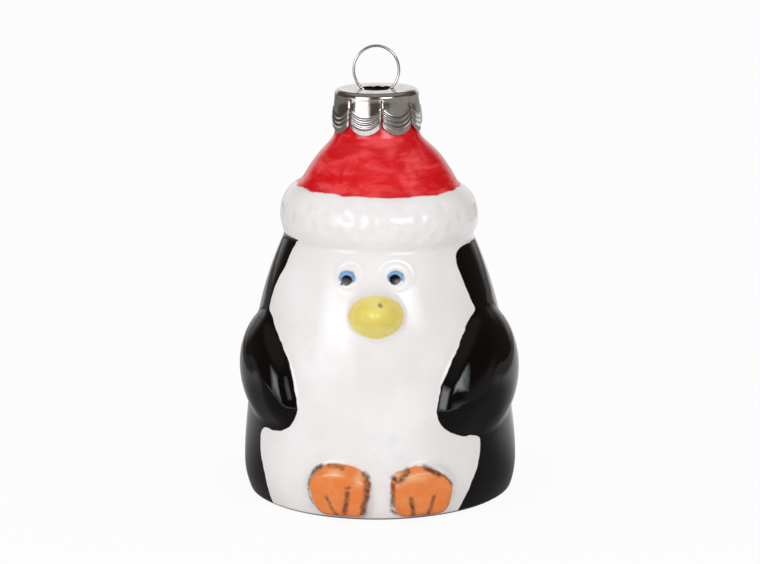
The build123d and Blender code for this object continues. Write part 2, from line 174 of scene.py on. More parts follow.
# Strokes of a dry brush on the feet, and a speck on the beak: half-width, fullness of brush, and places
DRY_STROKES = (
    (0.2, 1.0, (0.3, 53.6), (0.9, 53.4)),
    (0.5, 0.75, (-24.8, 13.3), (-26.8, 12.6), (-28.2, 11.4), (-29, 10.2), (-29.1, 8.9)),
    (0.4, 0.4, (-28.8, 7.8), (-28.1, 6.2), (-27.2, 4.5), (-26.5, 3.2), (-24.9, 2)),
    (0.25, 0.25, (-21.3, 13.8), (-19, 13.9), (-16.5, 13.7), (-15, 13.4)),
    (0.45, 0.75, (-6.7, 12.2), (-5.6, 11.6), (-5.1, 11), (-5.6, 10.6)),
    (0.75, 0.3, (-5.1, 9.7), (-5.3, 7.9), (-5.8, 6.1), (-6.5, 4.5), (-7, 2.6)),
    (0.3, 0.5, (-21, 6.4), (-19.9, 5.2), (-19.1, 3.6), (-17.6, 2.2)),
    (0.22, 1.0, (-18.1, 2.2), (-17.3, 2)),
    (0.22, 0.6, (-13.3, 9), (-11.9, 9.2)),
    (0.55, 0.45, (-12.7, 8), (-12.9, 6.3), (-13.4, 4.7), (-14.4, 2.4)),
    (0.5, 0.45, (4.8, 11.1), (6.7, 10.5), (8.3, 11.1), (9.3, 11.8), (11, 12.9)),
    (0.4, 0.4, (4.8, 9.6), (4.7, 7.5), (4.6, 5.7), (4.5, 3.9)),
    (0.35, 0.6, (4.5, 2.7), (6.1, 1.8)),
    (0.5, 0.9, (17.8, 13.3), (20.2, 12.6), (22.8, 11.6)),
    (0.2, 0.9, (23, 11.6), (25, 11.1), (27.2, 9.7), (28.4, 8.5)),
    (0.4, 0.75, (11.5, 6.3), (11.8, 4.9), (12.2, 3.2), (12.7, 1.4)),
    (0.38, 0.6, (20.6, 6.2), (19.9, 4.9), (19.1, 2.9), (18.6, 1.6)),
    (0.25, 0.3, (27.2, 3.7), (26.4, 1.7)),
)
# Paler orange on the feet where the paint runs thin; the patch at turn -18.1 is a painted highlight on the
# right foot's top.
THIN_PAINT_AND_HIGHLIGHT = (  # turn, height, and how far round and up it reaches
    (-8.4, 11.3, 1.1, 1.7), (-18.1, 12.4, 1.8, 0.9), (12.6, 11.4, 3.2, 1.1), (6.6, 11.5, 1.6, 1.0),
)
SMEARS = (  # grey-blue colour left by a finger on the belly, in the same way
    (-2.4, 15.0, 2.6, 1.4), (2.7, 12.7, 2.0, 1.0), (10.1, 15.4, 2.6, 1.2), (3.0, 20.5, 3.0, 1.4),
)

# Crown cap
TAB_COUNT = 8
FIRST_TAB = 29.0
SHEET = 0.35
CAP_HOLE = 4.1
CAP_SHOULDER = 1.2
CAP_RADIUS = 10.4
CAP_FLARE = 0.6
CAP_FLARE_DEPTH = 8.0
SLIT_DEPTH = 1.8
SLIT_WIDTH = 0.5
SCALLOP = 2.3
RIDGES = (1.75, 2.85, 3.95)  # heights above the tab's edge
RIDGE_WIDTH = 0.3
RIDGE_RISE = 0.2
RIDGE_ZONE = 5.0
EDGE_ROLL = 0.16  # how far a tab's sides roll in
EDGE_ROLL_FROM = 0.86  # share of a tab's half-width where that starts
SLIT_EASE = 0.35  # the slit opens over twice this height
SLIT_TOP_SHARE = 0.45  # of the slit's width, at its upper end
HOLE_EDGE = 0.12  # width of the hole's rim
PLATE_FROM = 5.0  # radius where the plate's even rows start
TAB_COLUMNS, TAB_ROWS, RIDGE_ROWS = 25, 7, 42
TAB_EDGE_ROWS = (0.12, 0.05, 0.0)  # heights of the last rows above a tab's edge
CAP_UNEVEN, CAP_WAVES = 0.12, 130.0  # bends in the sheet: their height, and their number to the metre
WELD = 0.002

# Wire hanger
WIRE = 0.65
LOOP_HALF_WIDTH = 5.56
LOOP_HALF_HEIGHT = 5.95
LOOP_CLEARANCE = 0.35
LEG_BEND = 1.6
LEG_SPLAY = 14.5
LEG_LENGTH = 17.0

# Studio
CAMERA_PLACE = (0, -643.0, 196.6)
CAMERA_TILT = 12.69  # below the horizon
CAMERA_ROLL = -0.6
LENS_PIXELS = 2632.0
PHOTO_WIDTH = 760
AXIS_OFFSET_PIXELS = 1.4
SENSOR = 36.0
SOFTBOXES = (  # turn, elevation, width, height and brightness
    (-40.0, 12.5, 580.0, 460.0, 0.94),
    (27.0, 19.0, 500.0, 270.0, 1.2),
)
# A lamp fades towards its edges in steps, each with a share of its size and of its brightness
SOFTBOX_STEPS = ((1.2, 0.65), (1.0, 1.0), (0.75, 1.15), (0.5, 1.5))
SOFTBOX_DEPTH = 20.0  # the brighter middle stands in front
SOFTBOX_DISTANCE = 900.0
SOFTBOX_COLOUR = (0.97, 1.0, 1.05)
FLOOR_REACH = 20  # from the middle of the floor to its edge, in heights of the ornament
FLOOR_WHITE = 0.92  # share of plain white in the floor that the camera sees, where the rest takes the shadow
# Places on the floor between which its brightness in reflections changes: in front, at the right and behind
FLOOR_LIT_NEAR, FLOOR_LIT_FAR = (-190.0, -290.0), (-900.0, -600.0)
FLOOR_RIGHT = (150.0, 280.0)
FLOOR_BEHIND, FLOOR_BEHIND_ASIDE = (-10.0, 90.0), (320.0, 180.0)
BACKDROP_RIGHT = (-60.0, 60.0)


class Graph:
    """A node tree, with short calls that add nodes and join them."""

    def __init__(self, tree):
        self.tree = tree
        tree.nodes.clear()

    def feed(self, socket, value):
        if isinstance(value, bpy.types.NodeSocket):
            self.tree.links.new(value, socket)
        else:
            socket.default_value = value

    def add(self, kind, inputs=None, **settings):
        made = self.tree.nodes.new(kind)
        for name, value in settings.items():
            setattr(made, name, value)
        for name, value in (inputs or {}).items():
            self.feed(made.inputs[name], value)
        return made

    def math(self, operation, *values):
        made = self.add("ShaderNodeMath", operation=operation)
        for socket, value in zip(made.inputs, values):
            self.feed(socket, value)
        return made.outputs[0]

    def scaled(self, place, amount):
        """A place times a number, or times three numbers."""
        by = amount if isinstance(amount, tuple) else (amount,) * 3
        made = self.add("ShaderNodeVectorMath", {0: place, 1: by}, operation="MULTIPLY")
        return made.outputs[0]

    def ramp(self, value, low, high):
        """0 below low, 1 above high, and smooth between them."""
        inputs = {"Value": value, "From Min": low, "From Max": high}
        return self.add("ShaderNodeMapRange", inputs, interpolation_type="SMOOTHSTEP").outputs[0]

    def span(self, value, low, high):
        """A value from 0 to 1, spread from low to high."""
        return self.add("ShaderNodeMapRange", {"Value": value, "To Min": low, "To Max": high}).outputs[0]

    def mix(self, share, first, second):
        """A colour between two colours."""
        made = self.add("ShaderNodeMix", data_type="RGBA")
        self.feed(made.inputs[0], share)
        self.feed(made.inputs[6], first)
        self.feed(made.inputs[7], second)
        return made.outputs[2]

    def noise(self, place, scale, detail=2.0, roughness=0.5, distortion=0.0):
        inputs = {
            "Vector": place,
            "Scale": scale,
            "Detail": detail,
            "Roughness": roughness,
            "Distortion": distortion,
        }
        return self.add("ShaderNodeTexNoise", inputs).outputs[0]

    def group(self, group, inputs):
        made = self.add("ShaderNodeGroup", node_tree=group)
        for name, value in inputs.items():
            self.feed(made.inputs[name], value)
        return made.outputs

    def place(self):
        """Where a point lies on the object, in millimetres."""
        return self.scaled(self.add("ShaderNodeTexCoord").outputs["Object"], 1 / MM)

    def field(self, name):
        return self.add("ShaderNodeAttribute", attribute_name=name).outputs["Fac"]


def rgb(red, green, blue):
    return (red, green, blue, 1.0)


def effect(name, inputs, outputs):
    """A shader node group, with its graph and the node that holds its inputs."""
    tree = bpy.data.node_groups.new(name, "ShaderNodeTree")
    for label, kind, value in inputs:
        socket = tree.interface.new_socket(name=label, in_out="INPUT", socket_type=f"NodeSocket{kind}")
        if value is not None:
            socket.default_value = value
    for label, kind in outputs:
        tree.interface.new_socket(name=label, in_out="OUTPUT", socket_type=f"NodeSocket{kind}")
    graph = Graph(tree)
    return tree, graph, graph.add("NodeGroupInput").outputs, graph.add("NodeGroupOutput").inputs


def painted_edge():
    """Where a coat of paint covers, from its distance inside a hand-painted outline."""
    tree, graph, given, made = effect(
        "painted edge",
        [
            ("Place", "Vector", None),
            ("Inside", "Float", 0.0),
            ("Wobble", "Float", 0.2),
            ("Wave", "Float", 1.5),
            ("Softness", "Float", 0.12),
        ],
        [("Cover", "Float")],
    )
    scale = graph.math("DIVIDE", 1.0, given["Wave"])
    wander = graph.math("SUBTRACT", graph.noise(given["Place"], scale, 2.0, 0.45), 0.5)
    moved = graph.math("MULTIPLY_ADD", wander, given["Wobble"], given["Inside"])
    below = graph.math("MULTIPLY", given["Softness"], -1.0)
    graph.feed(made["Cover"], graph.ramp(moved, below, given["Softness"]))
    return tree


def brush_strokes():
    """Streaks of thick and thin colour laid on round the figure with a loaded brush."""
    tree, graph, given, made = effect(
        "brush strokes",
        [
            ("Place", "Vector", None),
            ("Length", "Float", 9.0),
            ("Width", "Float", 1.2),
            ("Pooling", "Float", 5.0),
        ],
        [("Thin", "Float"), ("Pool", "Float")],
    )
    along = graph.math("DIVIDE", 1.0, given["Length"])
    across = graph.math("DIVIDE", 1.0, given["Width"])
    stretch = graph.add("ShaderNodeCombineXYZ", {0: along, 1: along, 2: across}).outputs[0]
    streaked = graph.add("ShaderNodeVectorMath", {0: given["Place"], 1: stretch}, operation="MULTIPLY")
    streaks = graph.noise(streaked.outputs[0], 1.0, 4.0, 0.62, 0.5)
    blots = graph.noise(given["Place"], graph.math("DIVIDE", 1.0, given["Pooling"]), 2.0, 0.5, 0.8)
    joined = graph.math("ADD", graph.math("MULTIPLY", streaks, 0.6), graph.math("MULTIPLY", blots, 0.4))
    graph.feed(made["Thin"], graph.ramp(joined, 0.42, 0.66))
    graph.feed(made["Pool"], graph.ramp(blots, 0.56, 0.38))
    return tree


def specks():
    """Rare dark specks in the glaze."""
    tree, graph, given, made = effect(
        "specks",
        [("Place", "Vector", None), ("Spacing", "Float", 3.4), ("Size", "Float", 0.16)],
        [("Speck", "Float")],
    )
    scale = graph.math("DIVIDE", 1.0, given["Spacing"])
    cells = graph.add("ShaderNodeTexVoronoi", {"Vector": given["Place"], "Scale": scale})
    distance = graph.math("MULTIPLY", cells.outputs["Distance"], given["Spacing"])
    graph.feed(made["Speck"], graph.ramp(distance, given["Size"], graph.math("MULTIPLY", given["Size"], 0.4)))
    return tree


def handling():
    """Fine drawn lines and dull patches on bright metal."""
    tree, graph, given, made = effect(
        "handling marks",
        [("Place", "Vector", None), ("Polish", "Float", 0.1), ("Dullness", "Float", 0.16)],
        [("Roughness", "Float"), ("Lines", "Float"), ("Dull", "Float")],
    )
    drawn = graph.scaled(given["Place"], (2.6, 2.6, 0.16))
    lines = graph.noise(drawn, 1.0, 3.0, 0.65)
    dull = graph.ramp(graph.noise(given["Place"], 0.45, 4.0, 0.6), 0.45, 0.72)
    rough = graph.math("MULTIPLY_ADD", dull, given["Dullness"], given["Polish"])
    graph.feed(made["Roughness"], graph.math("MULTIPLY_ADD", lines, given["Polish"], rough))
    graph.feed(made["Lines"], lines)
    graph.feed(made["Dull"], dull)
    return tree


def new_material(name):
    material = bpy.data.materials.new(name)
    material.use_nodes = True
    graph = Graph(material.node_tree)
    shader = graph.add("ShaderNodeBsdfPrincipled")
    graph.add("ShaderNodeOutputMaterial", {"Surface": shader.outputs[0]})
    return material, graph, shader


class Paint:
    """Colours laid one over another on the white clay, under the glaze."""

    def __init__(self, graph, edge, strokes, speck):
        self.graph = graph
        self.place = graph.place()
        self.edge = edge
        self.strokes = strokes
        self.speck = speck

    def cover(self, name, wobble, wave, softness):
        """Where the paint with this outline covers."""
        inputs = {
            "Place": self.place,
            "Inside": self.graph.field(name),
            "Wobble": wobble,
            "Wave": wave,
            "Softness": softness,
        }
        return self.graph.group(self.edge, inputs)["Cover"]

    def brushed(self, length, width, pooling):
        inputs = {"Place": self.place, "Length": length, "Width": width, "Pooling": pooling}
        return self.graph.group(self.strokes, inputs)

    def tint(self, under, mask, amount, colour):
        """Some of a colour over what lies under it, where the mask is."""
        return self.graph.mix(self.graph.math("MULTIPLY", mask, amount), under, colour)

    def clay(self):
        """White clay with painted shade greying its hollows, faint smears and rare specks."""
        graph, place = self.graph, self.place
        cloud = graph.ramp(graph.noise(place, 0.07, 3.0, 0.55), 0.35, 0.7)
        white = graph.mix(cloud, rgb(0.81, 0.775, 0.75), rgb(0.86, 0.835, 0.815))
        # Painted shade: the clay is greyed in creases, by how deep they lie.
        hollow = graph.ramp(graph.field("hollow"), 0.05, 0.5)
        white = self.tint(white, hollow, 0.16, rgb(0.60, 0.555, 0.53))
        smear = graph.ramp(graph.noise(place, 0.16, 4.0, 0.65, 1.0), 0.62, 0.78)
        white = self.tint(white, smear, 0.3, rgb(0.76, 0.78, 0.80))
        patchy = graph.ramp(graph.noise(place, 0.4, 2.0), 0.35, 0.7)
        finger = graph.math("MULTIPLY", graph.field("smear"), patchy)
        white = self.tint(white, finger, 0.5, rgb(0.66, 0.71, 0.77))
        dust = graph.group(self.speck, {"Place": place})["Speck"]
        return self.tint(white, dust, 0.55, rgb(0.16, 0.11, 0.09))

    def hat(self, under):
        wash = self.brushed(10.0, 2.6, 7.0)
        red = self.graph.mix(wash["Thin"], rgb(0.68, 0.008, 0.013), rgb(0.86, 0.075, 0.08))
        red = self.tint(red, wash["Pool"], 0.5, rgb(0.60, 0.004, 0.008))
        return self.graph.mix(self.cover("hat", 1.0, 4.6, 0.16), under, red)

    def coat(self, under):
        """Black, browner where it thins out along its edge."""
        rim = self.graph.ramp(self.graph.field("coat"), 0.45, 0.05)
        black = self.graph.mix(rim, rgb(0.0016, 0.0013, 0.0013), rgb(0.012, 0.005, 0.004))
        return self.graph.mix(self.cover("coat", 0.55, 2.2, 0.09), under, black)

    def beak(self, under):
        wash = self.brushed(6.0, 2.2, 4.0)
        yellow = self.graph.mix(wash["Thin"], rgb(0.81, 0.655, 0.145), rgb(0.83, 0.71, 0.20))
        return self.graph.mix(self.cover("beak", 0.3, 2.0, 0.14), under, yellow)

    def feet(self, under):
        wash = self.brushed(5.0, 2.4, 3.0)
        orange = self.graph.mix(wash["Thin"], rgb(0.78, 0.215, 0.055), rgb(0.80, 0.27, 0.085))
        # Paler orange where the paint runs thin, and a painted highlight on the right foot's top.
        orange = self.tint(orange, self.graph.field("thin"), 0.75, rgb(0.86, 0.47, 0.24))
        return self.graph.mix(self.cover("feet", 0.5, 1.2, 0.2), under, orange)

    def dry_strokes(self, under):
        """A brown stain with darker bristle marks in it."""
        graph = self.graph
        loaded = graph.math("MULTIPLY", graph.field("brush"), 0.3)
        bristles = graph.math("ADD", graph.noise(self.place, 1.0, 2.5, 0.6), loaded)
        wide = self.cover("strokes", 0.5, 1.6, 0.55)
        stain = graph.math("MULTIPLY", graph.ramp(bristles, 0.1, 0.65), wide)
        under = self.tint(under, stain, 0.78, rgb(0.16, 0.075, 0.05))
        narrow = self.cover("strokes", 0.6, 1.4, 0.45)
        inked = graph.math("MULTIPLY", graph.ramp(bristles, 0.48, 0.9), narrow)
        return self.tint(under, inked, 0.8, rgb(0.035, 0.02, 0.017))

    def eyes(self, under):
        """Watery blue irises, darker round their edges, and black pupils."""
        graph = self.graph
        cloudy = graph.noise(self.place, 0.9, 2.0)
        watery = graph.ramp(graph.math("MULTIPLY_ADD", cloudy, 1.2, graph.field("iris")), 0.5, 1.35)
        blue = graph.mix(watery, rgb(0.06, 0.18, 0.42), rgb(0.24, 0.46, 0.72))
        under = graph.mix(self.cover("iris", 0.45, 1.2, 0.36), under, blue)
        return graph.mix(self.cover("pupil", 0.35, 1.2, 0.22), under, rgb(0.005, 0.005, 0.006))


def painted_glaze(edge, strokes, speck):
    """Clear glossy glaze over white clay and hand-painted colours, with bare clay at the foot and inside,
    dark brown there as painted shade.
    """
    material, graph, shader = new_material("painted glaze")
    paint = Paint(graph, edge, strokes, speck)
    place = paint.place
    colour = paint.clay()
    for layer in (paint.hat, paint.coat, paint.beak, paint.feet, paint.dry_strokes, paint.eyes):
        colour = layer(colour)
    # Bare clay along the base, rougher than the glaze; its dark brown is painted shade where the foot meets
    # the floor.
    foot = graph.ramp(graph.field("height"), 0.7, 0.25)
    colour = graph.mix(foot, colour, rgb(0.16, 0.105, 0.085))
    # Bare clay inside the neck; its dark brown is painted shade in the hollow.
    inside = graph.field("inside")
    colour = graph.mix(inside, colour, rgb(0.10, 0.06, 0.045))
    graph.feed(shader.inputs["Base Color"], colour)

    bare = graph.math("MAXIMUM", foot, inside)
    gloss = graph.span(graph.noise(place, 0.3, 3.0, 0.6), 0.03, 0.08)
    graph.feed(shader.inputs["Roughness"], graph.math("MULTIPLY_ADD", bare, 0.5, gloss))
    waves = graph.noise(place, 0.35, 2.0, 0.4)
    bump = graph.add("ShaderNodeBump", {"Height": waves, "Distance": 0.025 * MM, "Strength": 1.0})
    graph.feed(shader.inputs["Normal"], bump.outputs[0])
    return material


def plated(name, marks, bright, dark, polish, dullness):
    """Bright plate, duller and browner where it has been handled."""
    material, graph, shader = new_material(name)
    place = graph.place()
    worn = graph.group(marks, {"Place": place, "Polish": polish, "Dullness": dullness})
    graph.feed(shader.inputs["Base Color"], graph.mix(worn["Dull"], bright, dark))
    graph.feed(shader.inputs["Roughness"], worn["Roughness"])
    shader.inputs["Metallic"].default_value = 1.0
    bump = graph.add("ShaderNodeBump", {"Height": worn["Lines"], "Distance": 0.012 * MM, "Strength": 1.0})
    graph.feed(shader.inputs["Normal"], bump.outputs[0])
    return material


def spaced(stretches):
    """Evenly spaced values along each stretch of start, end and spacing, without the last end."""
    values = []
    for start, end, spacing in stretches:
        count = math.ceil((end - start) / spacing)
        values.extend(start + (end - start) * np.arange(count) / count)
    return np.array(values)


def solid_tree(names):
    """The triangles of these solids for casting rays, and which solid each belongs to."""
    points, triangles, owners = [], [], []
    for index, name in enumerate(names):
        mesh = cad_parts[name].data
        first = len(points)
        points.extend(vertex.co.copy() for vertex in mesh.vertices)
        mesh.calc_loop_triangles()
        triangles.extend([first + i for i in t.vertices] for t in mesh.loop_triangles)
        owners.extend([index] * len(mesh.loop_triangles))
    return BVHTree.FromPolygons(points, triangles), owners


def scan(tree, owners, heights, turns, from_axis=False):
    """The radius at each height and turn, seen from outside or from the axis, and whose it is."""
    radius = np.zeros((len(heights), len(turns)))
    owner = np.full(radius.shape, -1)
    far = 2 * cad_high.x
    for j, turn in enumerate(np.radians(turns)):
        out = Vector((math.sin(turn), -math.cos(turn), 0))
        for i, height in enumerate(heights * MM):
            level = Vector((0, 0, height))
            start, way = (level, out) if from_axis else (level + far * out, -out)
            point, _, face, _ = tree.ray_cast(start, way)
            if point is not None:
                radius[i, j] = point.to_2d().length / MM
                owner[i, j] = owners[face]
    return radius, owner


def blur(places, reach, period=None):
    """A matrix that evens out values at these places over this reach."""
    gap = places[:, None] - places[None, :]
    if period:
        gap = (gap + period / 2) % period - period / 2
    weight = np.exp(-0.5 * (gap / reach) ** 2) * np.gradient(places)[None, :]
    return weight / weight.sum(axis=1, keepdims=True)


def smoothstep(low, high, value):
    share = np.clip((value - low) / (high - low), 0, 1)
    return share * share * (3 - 2 * share)


class Skin:
    """The glazed outside of the figure as a grid of radii over heights and turns."""

    def __init__(self):
        neck_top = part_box("hat_casting")[1].z / MM
        self.neck_top = neck_top
        last = HEIGHT_STRETCHES[-1][1]
        neck = (last, neck_top - CAP_SHOULDER, NECK_SPACING)
        self.turns = spaced(TURN_STRETCHES)
        self.heights = spaced(HEIGHT_STRETCHES + (neck,))
        self.tree, self.owners = solid_tree(CERAMIC)
        self.radius, self.owner = scan(self.tree, self.owners, self.heights, self.turns)
        self.height = np.repeat(self.heights[:, None], len(self.turns), axis=1)
        self.turn = np.repeat(self.turns[None, :], len(self.heights), axis=0)
        self.fields = {}

    def softened(self, field, reach):
        around = blur(self.turns, math.degrees(reach / GIRTH), 360)
        return blur(self.heights, reach) @ field @ around.T

    def places(self, radius):
        angle = np.radians(self.turn)
        return np.stack((radius * np.sin(angle), -radius * np.cos(angle), self.height), axis=-1)

    def clay(self, *names, ease=CLAY_EASE):
        """Distance inside the outline of these pieces of clay."""
        inside = np.isin(self.owner, [CERAMIC.index(name) for name in names])
        spread = self.softened(inside.astype(float), ease)
        return (spread - 0.5) * ease * math.sqrt(2 * math.pi)

    def outlined(self, points):
        """Distance inside a closed outline of turns and heights."""
        points = np.array(points, float)
        before, after, beyond = (np.roll(points, -shift, axis=0) for shift in (-1, 1, 2))
        curve = []
        for share in np.arange(CURVE_STEPS) / CURVE_STEPS:
            bend = (before - 5 / 2 * points + 2 * after - beyond / 2) * share**2
            twist = (3 * (points - after) + beyond - before) / 2 * share**3
            curve.append(points + (after - before) / 2 * share + (bend + twist))
        outline = np.stack(curve, axis=1).reshape(-1, 2)
        per_degree = math.radians(1) * self.radius
        inside = np.zeros(self.radius.shape, bool)
        nearest = np.full(self.radius.shape, np.inf)
        for (turn, up), (next_turn, next_up) in zip(outline, np.roll(outline, -1, axis=0)):
            dx, dz = (self.turn - turn) * per_degree, self.height - up
            ex, ez = (next_turn - turn) * per_degree, next_up - up
            share = np.clip((dx * ex + dz * ez) / (ex**2 + ez**2), 0, 1)
            nearest = np.minimum(nearest, np.hypot(dx - share * ex, dz - share * ez))
            crosses = (self.height < up) != (self.height < next_up)
            if next_up != up:
                crossing = turn + (self.height - up) / (next_up - up) * (next_turn - turn)
                inside ^= crosses & (self.turn < crossing)
        return np.where(inside, nearest, -nearest)

    def work_the_clay(self):
        """Rounds the flippers' edges, flattens the eyes and sets the hat as the hand did."""
        tree, owners = solid_tree(["body_casting"])
        torso, _ = scan(tree, owners, self.heights, self.turns)
        self.coat = np.maximum(self.outlined(COAT_RIGHT), self.outlined(COAT_LEFT))
        for name, lift, curves in FLIPPER_FRONTS:
            self.round_front(name, lift, curves, torso)
        eyes = np.isin(self.owner, [CERAMIC.index("right_eye"), CERAMIC.index("left_eye")])
        self.radius = np.where(eyes, torso, self.radius)
        hat = smoothstep(*HAT_SHIFT_FROM, self.height) * smoothstep(*HAT_SHIFT_TO, self.height)
        self.radius += HAT_SHIFT * hat * np.sin(np.radians(self.turn))
        for height, reach, amount in HAT_TOUCHES:
            self.radius += amount * np.exp(-(((self.height - height) / reach) ** 2))

    def round_front(self, name, lift, curves, torso):
        """Gives a flipper a full rounded front, from the painted edge back to its crest."""
        own = self.owner == CERAMIC.index(name)
        clay = np.where(own, self.radius - torso, 0)
        swell = np.stack([np.interp(self.heights - lift, self.heights, column) for column in clay.T], axis=1)
        crest = swell.max(axis=1)
        rows = crest > CREST_LEAST
        line_even, height_even = CREST_EVEN
        side = np.sign(self.turn[own].mean())
        crest_turn = side * self.turns[swell.argmax(axis=1)]
        crest_turn = np.interp(self.heights, self.heights[rows], crest_turn[rows])
        crest_turn = blur(self.heights, line_even) @ crest_turn
        fullness = np.where(self.heights < self.heights[crest.argmax()], *FLIPPER_FULLNESS)
        crest = blur(self.heights, height_even) @ (crest.max() * (crest / crest.max()) ** fullness)
        front = smoothstep(0, FLIPPER_BLEND, crest_turn[:, None] - side * self.turn) * (side * self.turn > 0)
        depth = self.coat - FLIPPER_EDGE_IN
        rounded = sum(share * np.sin(np.clip(depth / width, 0, 1) * math.pi / 2) for share, width in curves)
        rounded = crest[:, None] * rounded
        beside = own | (self.owner == CERAMIC.index("body_casting"))
        moved = self.radius - clay + swell + front * (rounded - swell)
        self.radius = np.where(beside, moved, self.radius)

    def glaze_over(self):
        """Fills the creases and rounds the edges, as a coat of glaze does."""
        clay = self.radius
        creases = np.maximum(clay, self.softened(clay, CREASE_FILL))
        grooves = np.maximum(clay, self.softened(clay, GROOVE_FILL))
        feet = smoothstep(*FEET_HIGH, self.height) * smoothstep(*FEET_ROUND, abs(self.turn))
        filled = creases + (grooves - creases) * feet
        filled = np.where(self.height > FILL_HIGH, clay, filled)
        smooth = self.softened(filled, EDGE_SOFTNESS)
        degrees, rise = BACK_EVEN
        even = blur(self.heights, rise) @ smooth @ blur(self.turns, degrees, 360).T
        back = smoothstep(*BACK_TURNS, abs(self.turn))
        back *= smoothstep(*BACK_TOP, self.height) * smoothstep(*BACK_FOOT, self.height)
        smooth += back * (even - smooth)
        self.radius = clay + (smooth - clay) * smoothstep(*SHARP_FOOT, self.height)
        # How deep each point lies in a crease, which sets the painted shade there.
        self.fields["hollow"] = self.softened(clay, CREASE_SHADE_REACH) - clay

    def shape_by_hand(self):
        """The dents of the fur and the slow waves of hand work."""
        places = self.places(self.radius)
        calm = smoothstep(*CALM_FOOT, self.height) * smoothstep(*CALM_NECK, self.neck_top - self.height)
        rise = np.zeros_like(self.radius)
        for i in range(len(self.heights)):
            for j in range(len(self.turns)):
                point = Vector(places[i, j])
                for wave, amount in UNEVEN:
                    rise[i, j] += calm[i, j] * amount * noise.noise(point / wave)
        for turn, height, depth in self.dents():
            away_round = abs((self.turns - turn + 180) % 360 - 180)
            nearest = abs(self.heights - height).argmin(), away_round.argmin()
            gap = np.linalg.norm(places - places[nearest], axis=-1) / DENT_RADIUS
            rise -= depth * np.clip(1 - gap**2, 0, None) ** 2
        for *oval, width, up in EYE_RINGS:
            rise += up * np.exp(-((self.from_oval(*oval) / width) ** 2))
        for turn, height, reach, up in SOFT_BUMPS:
            rise += up * np.exp(-((self.from_oval(turn, height, reach, reach) / reach + 1) ** 2))
        self.radius += rise

    def dents(self):
        """Turns, heights and depths of all the dents in the fur."""
        noise.seed_set(DENT_SEED)
        places = [(turn, height, DENT_DEPTH) for turn, height in FRONT_DENTS]
        step = math.degrees(DENT_PITCH / GIRTH)
        for row, height in enumerate(BACK_DENT_ROWS):
            for turn in np.arange(BACK_DENTS_FROM + row % 2 * step / 2, 360 - BACK_DENTS_FROM, step):
                wander = noise.noise_vector(Vector((turn, height, 0)) / DENT_WANDER_SCALE)
                aside, up = DENT_WANDER[0] * wander.x, DENT_WANDER[1] * wander.y
                places.append((turn + aside, height + up, BACK_DENT_DEPTH))
        return places

    def paint(self):
        """Signed distances inside each painted outline."""
        dip = np.sin(np.radians(self.turn))
        self.fields["coat"] = np.minimum(self.coat, COAT_TOP - COAT_TOP_DIP * dip - self.height)
        self.fields["hat"] = self.height - HAT_EDGE + HAT_EDGE_DIP * dip
        self.fields["beak"] = self.clay("beak")
        self.fields["feet"] = np.maximum(self.outlined(FOOT_RIGHT), self.outlined(FOOT_LEFT))
        self.fields["height"] = self.height
        irises = [np.minimum(-self.from_oval(*oval), self.height - oval[1] - IRIS_LOW) for oval in IRISES]
        self.fields["iris"] = np.max(irises, axis=0)
        self.fields["pupil"] = np.max([-self.from_oval(*oval) for oval in PUPILS], axis=0)
        self.fields["strokes"], self.fields["brush"] = self.stroke_fields()
        # Thin paint on the feet, with one painted highlight among the patches.
        self.fields["thin"] = self.patches(THIN_PAINT_AND_HIGHLIGHT)
        self.fields["smear"] = self.patches(SMEARS)

    def from_oval(self, turn, height, wide, high):
        """Distance outside an oval, which is negative inside it."""
        across = np.radians(self.turn - turn) * self.radius
        return (np.hypot(across / wide, (self.height - height) / high) - 1) * min(wide, high)

    def stroke_fields(self):
        """Distance inside the nearest dry stroke, and how full its brush was."""
        best = np.full(self.radius.shape, -10.0)
        brush = np.zeros(self.radius.shape)
        for half_width, full, *places in DRY_STROKES:
            for (turn, up), (next_turn, next_up) in zip(places, places[1:]):
                dx, dz = np.radians(self.turn - turn) * self.radius, self.height - up
                ex, ez = math.radians(next_turn - turn) * self.radius, next_up - up
                share = np.clip((dx * ex + dz * ez) / (ex**2 + ez**2), 0, 1)
                inside = half_width - np.hypot(dx - share * ex, dz - share * ez)
                brush = np.where(inside > best, full, brush)
                best = np.maximum(best, inside)
        return best, self.softened(brush, EDGE_SOFTNESS)

    def patches(self, spots):
        """1 in the middle of each of these soft spots, and 0 away from them."""
        total = np.zeros(self.radius.shape)
        for turn, height, wide, high in spots:
            across = np.radians(self.turn - turn) * self.radius
            total += np.exp(-((across / wide) ** 2) - ((self.height - height) / high) ** 2)
        return total

    def rings(self):
        """The whole closed shell as rings of points, from under the foot, up, and down inside."""
        angle = np.radians(self.turns)
        unit = np.stack((np.sin(angle), -np.cos(angle)), axis=-1)

        def ring(radius, height):
            flat = unit * np.broadcast_to(radius, angle.shape)[:, None]
            return np.column_stack((flat, np.full(len(angle), height)))

        foot = self.radius[0]
        under = [ring(foot * share, 0.0) for share in FOOT_RINGS]
        side = list(self.places(self.radius))
        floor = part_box("body_casting")[0].z / MM
        inside_heights = np.linspace(self.neck_top - HOLLOW_TOP, floor + HOLLOW_FLOOR, HOLLOW_ROWS)
        inside, _ = scan(self.tree, self.owners, inside_heights, self.turns, from_axis=True)
        lip = [
            ring(self.radius[-1] - LIP_IN * CAP_SHOULDER, self.neck_top - LIP_DOWN * CAP_SHOULDER),
            ring(self.radius[-1] - CAP_SHOULDER, self.neck_top),
            ring(inside[0] + LIP_WALL, self.neck_top),
        ]
        within = [ring(radius, height) for radius, height in zip(inside, inside_heights)]
        return under, side, lip + within

